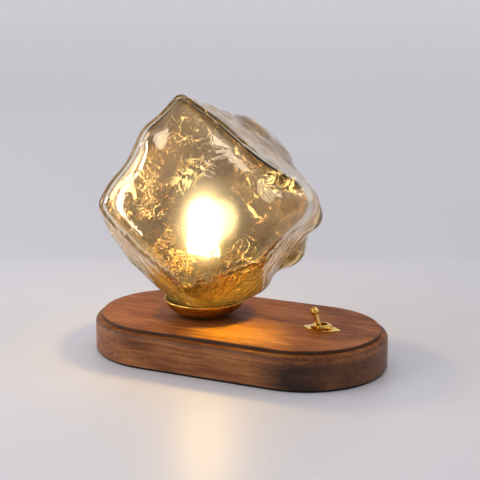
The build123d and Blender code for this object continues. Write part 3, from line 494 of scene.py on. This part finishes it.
# %% The film inside the glass
def champagne_coat():
    # A half mirror in gold: it lets part of the light through and throws part back. It is thicker and deeper
    # gold towards the neck, uncreased in front, where it is hazy and carries a painted glow of the bulb, and
    # creased all round.
    material, tree, shader, place = start("soda_glass_metallised_inside")
    shader.inputs["Transmission Weight"].default_value = 0.97
    shader.inputs["IOR"].default_value = GLASS_IOR
    shader.inputs["Coat Weight"].default_value = 1
    shader.inputs["Coat IOR"].default_value = 2.0
    shader.inputs["Emission Strength"].default_value = 1
    height = add(tree, "SeparateXYZ", {"Vector": place}).outputs["Z"]
    facing = add(tree, "VectorMath", {0: place, 1: FRONT}, operation="DOT_PRODUCT").outputs["Value"]
    in_front = add(tree, "MapRange", {"Value": facing, "From Min": FRONT_SMOOTH[0],
                                      "From Max": FRONT_SMOOTH[1]}).outputs["Result"]
    colour, metal = film_colour(tree, place, height, facing)
    tree.links.new(colour, shader.inputs["Base Color"])
    tree.links.new(metal, shader.inputs["Metallic"])
    creases, normal = film_creases(tree, place, facing)
    tree.links.new(normal, shader.inputs["Normal"])
    tree.links.new(normal, shader.inputs["Coat Normal"])
    halo = film_painted_glow(tree, place, in_front)
    blur = add(tree, "MapRange", {"Value": halo, "From Min": 0.4, "From Max": 1.1, "To Min": 0.03,
                                  "To Max": 0.42})
    tree.links.new(blur.outputs["Result"], shader.inputs["Roughness"])
    # The film's emission is painted light: the bulb's glow in front, gold all round, and threads and glints.
    light = (0, 0, 0)
    for code, strength in (("#FFE3A8", halo), ("#E8B04A", film_painted_gold_light(tree, place, facing, in_front)),
                           ("#FFDE8C", film_flashes(tree, place, creases))):
        shine = add(tree, "VectorMath", {0: linear(code)[:3], "Scale": strength}, operation="SCALE")
        light = add(tree, "VectorMath", {0: shine.outputs["Vector"], 1: light},
                    operation="ADD").outputs["Vector"]
    tree.links.new(light, shader.inputs["Emission Color"])
    return material


shade_mesh.materials.append(champagne_coat())
print("glass materials", [material.name for material in shade_mesh.materials])

# %% [markdown]
# ## Walnut base
# The base looks like one block of open-grained timber, stained and waxed, with its grain along the length.
# Fibres make fine streaks, the stain clouds them, and open pores make short dark dashes. A picture of veneer
# could be wrapped on, but noise stretched along X runs through the block, so every face cuts the same grain,
# as it does in solid timber.

# %% Grain of the walnut
def walnut_grain(tree, place):
    """Stretched noise for the fibres, the clouds of stain and the pores, and the colour that they give."""
    long_grain = add(tree, "Mapping", {"Vector": place, "Rotation": (0, 0, 0.05),
                                       "Scale": (per_mm(45), per_mm(2.2), per_mm(2.2))})
    fibres = add(tree, "TexNoise", {"Vector": long_grain.outputs["Vector"], "Scale": 1, "Detail": 6,
                                    "Roughness": 0.65, "Distortion": 0.4})
    stretched = add(tree, "Mapping", {"Vector": place, "Rotation": (0, 0, -0.1),
                                      "Scale": (per_mm(60), per_mm(22), per_mm(22))})
    stain = add(tree, "TexNoise", {"Vector": stretched.outputs["Vector"], "Scale": 1, "Detail": 4,
                                   "Distortion": 0.6})
    grain = add(tree, "MixRGB", {"Fac": 0.45, "Color1": fibres.outputs["Fac"],
                                 "Color2": stain.outputs["Fac"]})
    colour = add(tree, "ValToRGB", {"Fac": grain.outputs["Color"]},
                 stops=[(0.32, linear("#4A2512")), (0.45, linear("#7C4620")), (0.55, linear("#9C6034")),
                        (0.68, linear("#BA7A46"))])
    # Real pores are a few tenths of a millimetre wide, too fine to show, so they are drawn 0.9 mm wide.
    pore_place = add(tree, "Mapping", {"Vector": place, "Rotation": (0, 0, 0.05),
                                       "Scale": (per_mm(7), per_mm(0.9), per_mm(0.9))})
    pore_noise = add(tree, "TexNoise", {"Vector": pore_place.outputs["Vector"], "Scale": 1, "Detail": 2})
    pores = add(tree, "MapRange", {"Value": pore_noise.outputs["Fac"], "From Min": 0.60, "From Max": 0.72,
                                   "To Max": 0.7})
    tinted = add(tree, "MixRGB", {"Fac": pores.outputs["Result"], "Color1": colour.outputs["Color"],
                                  "Color2": linear("#3A1C0F")})
    return tinted.outputs["Color"], fibres.outputs["Fac"], stain.outputs["Fac"], pores.outputs["Result"]

# %% Painted shade on the walnut
LIP_FOOT = 25.5 * MM
SHADE_RUN = (62 * MM, 140 * MM)
SHADE_RAGGED = 40 * MM
SHADE_TOP = (18 * MM, 26 * MM)


def walnut_painted_shade(tree, colour, stain, spread, upright):
    """Paints shade: darkens the corner under the lip, a ragged patch low on the switch's end, and the lip's
    edge.
    """
    # Painted shade in the corner under the lip.
    corner = add(tree, "MapRange", {"Value": spread["Z"], "From Min": LIP_FOOT - 2 * MM,
                                    "From Max": LIP_FOOT, "To Max": 0.45}, interpolation_type="SMOOTHSTEP")
    lip = add(tree, "MapRange", {"Value": spread["Z"], "From Min": LIP_FOOT + 0.5 * MM,
                                 "From Max": LIP_FOOT + 3 * MM, "To Min": 1.0, "To Max": 0.0})
    dark = add(tree, "Math", {0: corner.outputs["Result"], 1: lip.outputs["Result"]}, operation="MULTIPLY")
    with_painted_shade = add(tree, "MixRGB", {"Fac": dark.outputs["Value"], "Color1": colour,
                                "Color2": linear("#2E1509")})
    # Painted shade: a ragged dark patch low on the wood towards the switch's end, its edge broken by the
    # stain's noise.
    ragged = add(tree, "Math", {0: stain, 1: SHADE_RAGGED, 2: spread["X"]}, operation="MULTIPLY_ADD")
    length = add(tree, "MapRange", {"Value": ragged.outputs["Value"], "From Min": SHADE_RUN[0],
                                    "From Max": SHADE_RUN[1]})
    along = add(tree, "ValToRGB", {"Fac": length.outputs["Result"]},
                stops=[(0.0, (0, 0, 0, 1)), (1.0, (0.55, 0.55, 0.55, 1)), (0.35, (0.95, 0.95, 0.95, 1))])
    below = add(tree, "MapRange", {"Value": spread["Z"], "From Min": SHADE_TOP[0], "From Max": SHADE_TOP[1],
                                   "To Min": 1.0, "To Max": 0.0}, interpolation_type="SMOOTHSTEP")
    stain_and_shade = add(tree, "Math", {0: along.outputs["Color"], 1: below.outputs["Result"]},
                  operation="MULTIPLY")
    shaded = add(tree, "MixRGB", {"Fac": stain_and_shade.outputs["Value"], "Color1": with_painted_shade.outputs["Color"],
                                  "Color2": linear("#1F0F08")})
    # Painted shade on the lip's edge, strongest on faces that stand upright.
    edge = add(tree, "MapRange", {"Value": spread["Z"], "From Min": LIP_FOOT - 1.5 * MM,
                                  "From Max": LIP_FOOT + 0.5 * MM, "To Max": upright})
    edged = add(tree, "MixRGB", {"Fac": edge.outputs["Result"], "Color1": shaded.outputs["Color"],
                                 "Color2": linear("#1C0E07")})
    return edged.outputs["Color"]

# %% Walnut base
def oiled_walnut():
    # Stained open grain gives fine dark fibres, cloudy colour and dark pores. Wax rubbed on the sides makes
    # them glossier than the top.
    material, tree, shader, place = start("walnut_stained_open_grain")
    spread = add(tree, "SeparateXYZ", {"Vector": place}).outputs
    facing = add(tree, "SeparateXYZ", {"Vector": add(tree, "NewGeometry").outputs["Normal"]})
    upright = add(tree, "MapRange", {"Value": facing.outputs["Z"], "From Min": 0.2, "From Max": 0.75,
                                     "To Min": 0.8, "To Max": 0.0})
    waxed = add(tree, "MapRange", {"Value": facing.outputs["Z"], "From Min": 0.3, "From Max": 0.9,
                                   "To Min": 0.34, "To Max": 0.06})
    tree.links.new(waxed.outputs["Result"], shader.inputs["Specular IOR Level"])
    colour, fibres, stain, pores = walnut_grain(tree, place)
    # The darkening under the lip, low on the switch's end and on the lip's edge is painted shade.
    with_painted_shade = walnut_painted_shade(tree, colour, stain, spread, upright.outputs["Result"])
    tree.links.new(with_painted_shade, shader.inputs["Base Color"])
    sheen = add(tree, "MapRange", {"Value": fibres, "To Min": 0.52, "To Max": 0.36})
    tree.links.new(sheen.outputs["Result"], shader.inputs["Roughness"])
    relief = add(tree, "MixRGB", {"Fac": 0.5, "Color1": fibres, "Color2": pores})
    bump = add(tree, "Bump", {"Height": relief.outputs["Color"], "Strength": 0.3, "Distance": 0.15 * MM},
               invert=True)
    tree.links.new(bump.outputs["Normal"], shader.inputs["Normal"])
    return material


dress(oiled_walnut(), "base_block")
print("base dressed in", nodes["base_block"].data.materials[0].name)

# %% [markdown]
# ## Brass
# The cup and the switch look like turned brass, polished and lacquered. Polished brass mirrors the room in
# gold. A perfect mirror would look false, so faint smears in the lacquer and the marks of the buff break it.

# %% Brass
def brass(name, pale, deep, smooth, rough):
    # Smears of lacquer make the gold deeper in places, and buffing leaves fine lines in the mirror image.
    material, tree, shader, place = start(name)
    shader.inputs["Metallic"].default_value = 1
    smears = add(tree, "TexNoise", {"Vector": place, "Scale": per_mm(14), "Detail": 3, "Distortion": 0.5})
    tint = add(tree, "ValToRGB", {"Fac": smears.outputs["Fac"]},
               stops=[(0.3, linear(deep)), (0.7, linear(pale))])
    tree.links.new(tint.outputs["Color"], shader.inputs["Base Color"])
    gloss = add(tree, "MapRange", {"Value": smears.outputs["Fac"], "From Min": 0.3, "From Max": 0.7,
                                   "To Min": smooth, "To Max": rough})
    tree.links.new(gloss.outputs["Result"], shader.inputs["Roughness"])
    # Real buffing lines are far finer, and are drawn 0.5 mm apart so that they show.
    marks = add(tree, "Mapping", {"Vector": place, "Scale": (per_mm(6), per_mm(6), per_mm(0.5))})
    buff = add(tree, "TexNoise", {"Vector": marks.outputs["Vector"], "Scale": 1, "Detail": 2})
    bump = add(tree, "Bump", {"Height": buff.outputs["Fac"], "Strength": 0.08, "Distance": 0.1 * MM})
    tree.links.new(bump.outputs["Normal"], shader.inputs["Normal"])
    return material


polished = brass("brass_polished_lacquered", "#F2CE72", "#E4B650", 0.06, 0.18)
plain = brass("brass_as_turned", "#CFAA62", "#B58D45", 0.28, 0.42)
dress(polished, "shade_cup", "switch_bushing", "switch_plate", "switch_nut", "toggle_lever")
dress(plain, "neck_collar", "lampholder_cap", "lampholder_contacts", "terminal_inserts", "switch_back_nut",
      "plunger", "contact_rocker", "terminal_common", "terminal_switched")
print("brass materials", polished.name, plain.name)

# %% [markdown]
# ## Moulded, fired and plated pieces
# The other pieces are small and mostly hidden: plastics and rubber keep the fine grain of their mould, fired
# clay is chalky, and zinc plating has a soft crystalline mottle. They differ in colour, gloss and grain, so
# one function makes them all.

# %% Moulded, fired and plated pieces
def grained(name, dark, light, grain, smooth, rough, depth, metal=0.0):
    """A finish whose colour, gloss and relief follow one fine grain; grain and depth are in millimetres."""
    # Colour, gloss and relief that follow one grain give an even, matt or satin skin. Real grain is mostly
    # finer than this, and is drawn a millimetre or so wide so that it shows.
    material, tree, shader, place = start(name)
    shader.inputs["Metallic"].default_value = metal
    speck = add(tree, "TexNoise", {"Vector": place, "Scale": per_mm(grain), "Detail": 4})
    tint = add(tree, "ValToRGB", {"Fac": speck.outputs["Fac"]},
               stops=[(0.3, linear(dark)), (0.7, linear(light))])
    tree.links.new(tint.outputs["Color"], shader.inputs["Base Color"])
    gloss = add(tree, "MapRange", {"Value": speck.outputs["Fac"], "From Min": 0.3, "From Max": 0.7,
                                   "To Min": smooth, "To Max": rough})
    tree.links.new(gloss.outputs["Result"], shader.inputs["Roughness"])
    bump = add(tree, "Bump", {"Height": speck.outputs["Fac"], "Strength": 0.4, "Distance": depth * MM})
    tree.links.new(bump.outputs["Normal"], shader.inputs["Normal"])
    return material


dress(grained("foam_rubber_black", "#0C0C0D", "#1C1B1B", 1.2, 0.75, 0.95, 0.3), "base_pad")
dress(grained("steel_painted_matt", "#1A1A1B", "#2A2A2B", 1.5, 0.5, 0.65, 0.08), "bottom_cover")
dress(grained("steel_zinc_plated", "#9DA0A2", "#C3C6C8", 2.0, 0.25, 0.42, 0.05, 1.0), "cover_screws",
      "terminal_clamp_screws", "terminal_block_screw", "threaded_tube", "tube_washer", "tube_nut", "cup_nut",
      "bulb_pins", "switch_lock_washer", "lever_pin", "rocker_pin")
dress(grained("steel_spring_wire", "#8A8C8F", "#AEB0B3", 0.6, 0.3, 0.4, 0.02, 1.0), "plunger_spring")
dress(grained("nylon_moulded_black", "#121213", "#202022", 0.9, 0.42, 0.55, 0.06), "cord_inlet_bush",
      "cord_inlet_nut", "switch_body")
dress(grained("polyester_moulded_white", "#DEDBD3", "#EFECE5", 1.0, 0.35, 0.5, 0.04), "bulb_base",
      "terminal_block")
dress(grained("steatite_fired", "#D9D1C0", "#EEE8DB", 1.1, 0.6, 0.8, 0.08), "lampholder_body")
dress(grained("silicone_gasket_moulded", "#1B1A1A", "#2B2A29", 1.4, 0.6, 0.75, 0.08), "shade_gasket")
dress(grained("vinyl_sleeve_brown", "#3F2114", "#5A3220", 1.0, 0.35, 0.5, 0.04), "lead_live",
      "lead_switched")
dress(grained("vinyl_sleeve_blue", "#1B3C7A", "#2A549C", 1.0, 0.35, 0.5, 0.04), "lead_neutral")
print("materials so far", len(bpy.data.materials))

# %% [markdown]
# ## The bulb
# The bulb is taken to have a frosted cover over a board of small white chips. Lit, the cover glows a warm
# white and is far brighter than anything round it. The cover shows in the glass, but the light that it throws
# on the wood and the table comes from lamps in its middle, made further down, because light that finds its
# way out through bent glass by chance is very noisy.

# %% The bulb
COVER_LIGHT = 45
CHIP_LIGHT = 4


def lit_cover():
    # Frosted plastic spreads the light of the chips, so the whole cover glows, with faint clouds in it.
    material, tree, shader, place = start("polycarbonate_frosted_lit")
    shader.inputs["Base Color"].default_value = linear("#FFF3DC")
    frost = add(tree, "TexNoise", {"Vector": place, "Scale": per_mm(3), "Detail": 2})
    glow = add(tree, "ValToRGB", {"Fac": frost.outputs["Fac"]},
               stops=[(0.3, linear("#FFD68A")), (0.7, linear("#FFE1A4"))])
    tree.links.new(glow.outputs["Color"], shader.inputs["Emission Color"])
    shader.inputs["Emission Strength"].default_value = COVER_LIGHT
    shader.inputs["Roughness"].default_value = 0.5
    return material


def lit_chips():
    # White solder mask with rows of chips gives a pale board with yellow cells that glow.
    material, tree, shader, place = start("circuit_board_white_lit")
    cells = add(tree, "TexVoronoi", {"Vector": place, "Scale": per_mm(4.7)})
    tint = add(tree, "ValToRGB", {"Fac": cells.outputs["Distance"]},
               stops=[(0.2, linear("#FFE9A8")), (0.5, linear("#F4F2EA"))])
    tree.links.new(tint.outputs["Color"], shader.inputs["Base Color"])
    tree.links.new(tint.outputs["Color"], shader.inputs["Emission Color"])
    shader.inputs["Emission Strength"].default_value = CHIP_LIGHT
    shader.inputs["Roughness"].default_value = 0.4
    return material


dress(lit_cover(), "bulb_envelope")
dress(lit_chips(), "led_board")
nodes["bulb_envelope"].visible_diffuse = False
nodes["led_board"].visible_diffuse = False

# %% [markdown]
# ## Floor
# The lamp stands on a plain pale table in front of a paper backdrop. One flat square is both: its colour
# changes softly where the table ends, so there is no second piece to line up.

# %% Floor
TABLE_HALF = 12
TABLE_DEPTH = 0.27
TABLE_EDGE = 0.06
BACKDROP_REACH = 4.0
AWAY = Vector((AIM.x - EYE.x, AIM.y - EYE.y, 0)).normalized()


def pale_table():
    # Satin paint mirrors the bulb as a soft streak. Behind the lamp the table ends at a grey paper backdrop.
    material, tree, shader, place = start("table_painted_pale")
    shader.inputs["Roughness"].default_value = 0.45
    cloud = add(tree, "TexNoise", {"Vector": place, "Scale": per_mm(300), "Detail": 2})
    tint = add(tree, "ValToRGB", {"Fac": cloud.outputs["Fac"]},
               stops=[(0.3, linear("#CFCDD0")), (0.7, linear("#D3D1D4"))])
    depth = add(tree, "VectorMath", {0: place, 1: AWAY}, operation="DOT_PRODUCT")
    edge = add(tree, "MapRange", {"Value": depth.outputs["Value"], "From Min": TABLE_DEPTH,
                                  "From Max": TABLE_DEPTH + TABLE_EDGE}, interpolation_type="SMOOTHSTEP")
    rise = add(tree, "MapRange", {"Value": depth.outputs["Value"], "From Min": TABLE_DEPTH,
                                  "From Max": BACKDROP_REACH})
    paper = add(tree, "ValToRGB", {"Fac": rise.outputs["Result"]},
                stops=[(0.0, linear("#CAC8CC")), (1.0, linear("#EAE8EA")), (0.2, linear("#D8D6D9"))])
    colour = add(tree, "MixRGB", {"Fac": edge.outputs["Result"], "Color1": tint.outputs["Color"],
                                  "Color2": paper.outputs["Color"]})
    tree.links.new(colour.outputs["Color"], shader.inputs["Base Color"])
    return material


table_skin = bmesh.new()
bmesh.ops.create_grid(table_skin, x_segments=1, y_segments=1, size=TABLE_HALF)
table_mesh = bpy.data.meshes.new("table")
table_skin.to_mesh(table_mesh)
table_skin.free()
table = bpy.data.objects.new("table", table_mesh)
bpy.context.collection.objects.link(table)
table_mesh.materials.append(pale_table())
print("table", 2 * TABLE_HALF, "m wide")

# %% [markdown]
# ## Studio light
# Large soft lights give soft shadows, and each also shows in the glass as a white patch, so they stand where
# the patches are wanted. They are placed by direction, as a photographer would walk them round the lamp.

# %% Soft lights
LOOK_AT = Vector((-20, 0, 100)) * MM
# Name, heading and rise in degrees, reach, width and height in metres, and level, where 1 is white.
SOFTBOXES = [
    ("softbox_left", -141, 34.5, 1.15, 0.5, 0.5, 2.5),
    ("softbox_right", 14.5, 38.6, 1.28, 0.35, 0.6, 1.6),
    ("softbox_low", -165, 12, 1.3, 0.4, 0.3, 9.0),
    ("softbox_front", -90.5, 43, 1.3, 0.26, 0.2, 2.6),
    ("strip_left", -117, 25, 1.3, 0.12, 0.5, 9.0),
]

for name, heading, rise, reach, width, height, level in SOFTBOXES:
    light = bpy.data.lights.new(name, "AREA")
    light.shape = "RECTANGLE"
    light.size = width
    light.size_y = height
    light.energy = level * math.pi * width * height
    softbox = bpy.data.objects.new(name, light)
    bpy.context.collection.objects.link(softbox)
    turn = math.radians(heading)
    lift = math.radians(rise)
    way = Vector((math.cos(lift) * math.cos(turn), math.cos(lift) * math.sin(turn), math.sin(lift)))
    softbox.location = LOOK_AT + way * reach
    softbox.rotation_mode = "QUATERNION"
    softbox.rotation_quaternion = (-way).to_track_quat("-Z", "Y")
    softbox.visible_camera = False
print("softboxes", len(bpy.data.lights))

# %% [markdown]
# ## The room
# Clear glass needs something dark to show its outline, so photographers hang dark cards round it. Here the
# room is dark overhead towards the backdrop, but only for rays that passed through the glass or were mirrored
# by a perfectly smooth skin. The table and the wood still see a plain pale room.

# %% The room
PALE_SIDE = Vector((-0.2, 0.97, 0.1))
CARD_LEAN = 0.4
CARD_LIGHT = 0.03

world = bpy.data.worlds.new("studio")
world.use_nodes = True
bpy.context.scene.world = world
room = world.node_tree
way = add(room, "TexCoord").outputs["Generated"]
height = add(room, "SeparateXYZ", {"Vector": way})
aside = add(room, "VectorMath", {0: way, 1: PALE_SIDE}, operation="DOT_PRODUCT")
walls = add(room, "MapRange", {"Value": aside.outputs["Value"], "From Min": -0.7, "From Max": 0.4,
                               "To Min": 0.38, "To Max": 0.83}, interpolation_type="SMOOTHSTEP")
ceiling = add(room, "MapRange", {"Value": height.outputs["Z"], "From Min": 0.55, "From Max": 0.75,
                                 "To Min": 0.0, "To Max": 0.25}, interpolation_type="SMOOTHSTEP")
level = add(room, "Math", {0: walls.outputs["Result"], 1: ceiling.outputs["Result"]}, operation="ADD")
behind = add(room, "VectorMath", {0: way, 1: AWAY * CARD_LEAN}, operation="DOT_PRODUCT")
over = add(room, "Math", {0: height.outputs["Z"], 1: behind.outputs["Value"]}, operation="ADD")
path = add(room, "LightPath")
in_glass = add(room, "Math", {0: path.outputs["Is Transmission Ray"], 1: path.outputs["Is Singular Ray"]},
               operation="MAXIMUM")
carded = add(room, "MapRange", {"Value": over.outputs["Value"], "From Min": 0.6, "From Max": 0.8,
                                "To Max": in_glass.outputs["Value"]})
seen = add(room, "MapRange", {"Value": carded.outputs["Result"], "To Min": level.outputs["Value"],
                              "To Max": CARD_LIGHT})
room.nodes["Background"].inputs["Color"].default_value = linear("#F1F0F6")
room.links.new(seen.outputs["Result"], room.nodes["Background"].inputs["Strength"])
print("world", world.name)

# %% [markdown]
# ## The bulb's own light
# Three lamps in the bulb's middle stand for its light: one for the table, one for the lamp itself, and a beam
# for the warm patch on the wood in front. Light linking lets the glass and the bulb pass their light, while
# the other pieces still throw shadows.

# %% The bulb's own light
BULB_RADIUS = 12 * MM
CLEAR_OF_BULB = GLASS_NODES + ("bulb_envelope", "led_board", "bulb_base")
WOOD_PATCH = Vector((13, -35, 30)) * MM
BEAM_WIDTH = math.radians(62)


def group_of(name, pieces):
    """A collection for light linking, which isn't part of the scene."""
    group = bpy.data.collections.new(name)
    for piece in pieces:
        group.objects.link(piece)
    return group


def bulb_lamp(kind, name, power, colour, lit, glossy):
    """A lamp in the bulb's middle, whose light the glass lets through, for the pieces that it lights."""
    light = bpy.data.lights.new(name, kind)
    light.energy = power
    light.color = linear(colour)[:3]
    light.shadow_soft_size = BULB_RADIUS
    lamp = bpy.data.objects.new(name, light)
    bpy.context.collection.objects.link(lamp)
    lamp.location = BULB_MIDDLE
    lamp.visible_camera = False
    lamp.visible_transmission = False
    lamp.visible_glossy = glossy
    lamp.light_linking.receiver_collection = group_of(name + "_lights", lit)
    lamp.light_linking.blocker_collection = bulb_blockers
    return lamp


opaque = [piece for name, piece in nodes.items() if name not in CLEAR_OF_BULB]
bulb_blockers = group_of("blocks_the_bulb", [table] + opaque)
bulb_lamp("POINT", "bulb_on_table", 0.42, "#FFD27A", [table], True)
bulb_lamp("POINT", "bulb_on_lamp", 0.22, "#FFD257", [*nodes.values(), shade], False)
wood_and_plate = [nodes["base_block"], nodes["switch_plate"]]
beam = bulb_lamp("SPOT", "bulb_on_wood", 1.6, "#FFF02C", wood_and_plate, False)
beam.data.spot_size = BEAM_WIDTH
beam.data.spot_blend = 1.0
beam.rotation_mode = "QUATERNION"
beam.rotation_quaternion = (WOOD_PATCH - BULB_MIDDLE).to_track_quat("-Z", "Y")
print("lamps", len(bpy.data.lights))
